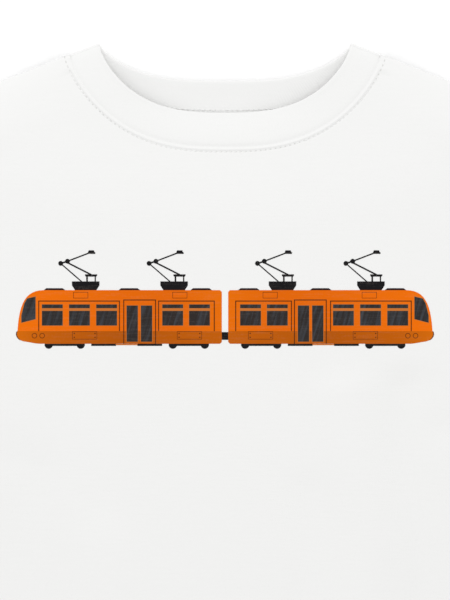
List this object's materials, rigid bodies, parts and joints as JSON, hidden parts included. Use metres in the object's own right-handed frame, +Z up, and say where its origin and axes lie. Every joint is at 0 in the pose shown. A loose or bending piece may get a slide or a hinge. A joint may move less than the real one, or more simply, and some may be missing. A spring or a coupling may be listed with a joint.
{
  "type": "child's round-neck T-shirt, printed with a tram",
  "caption": "White short-sleeved jersey T-shirt with a ribbed round collar and a printed tram on the chest, lying flat on its back.",
  "frame": {"origin": "on the floor, under the middle of the shirt's outline as it lies on its back", "axes": "+X to the right across the front as seen from above, the wearer's left side, +Y from the hem to the collar, +Z up from the floor, out of the chest"},
  "size_m": [0.5362, 0.4499, 0.0162],
  "materials": {
    "jersey_front": "matte",
    "jersey_back": "matte",
    "jersey_sleeves": "matte",
    "jersey_hems": "matte",
    "rib_collar": "matte",
    "neck_tape": "matte",
    "ink_orange": "satin",
    "ink_brown": "satin",
    "ink_grey": "satin",
    "ink_tan": "satin",
    "ink_dark_brown": "satin",
    "ink_black": "satin"
  },
  "bodies": {
    "root": {"back_panel": "jersey_back", "front_panel": "jersey_front", "left_sleeve": "jersey_sleeves", "right_sleeve": "jersey_sleeves", "bottom_hem": "jersey_hems", "left_cuff": "jersey_hems", "right_cuff": "jersey_hems", "neckband": "rib_collar", "neck_tape": "neck_tape", "print_cars": "ink_orange", "print_skirts": "ink_brown", "print_windows": "ink_grey", "print_trim": "ink_tan", "print_seams": "ink_dark_brown", "print_gear": "ink_black"}
  },
  "joints": []
}
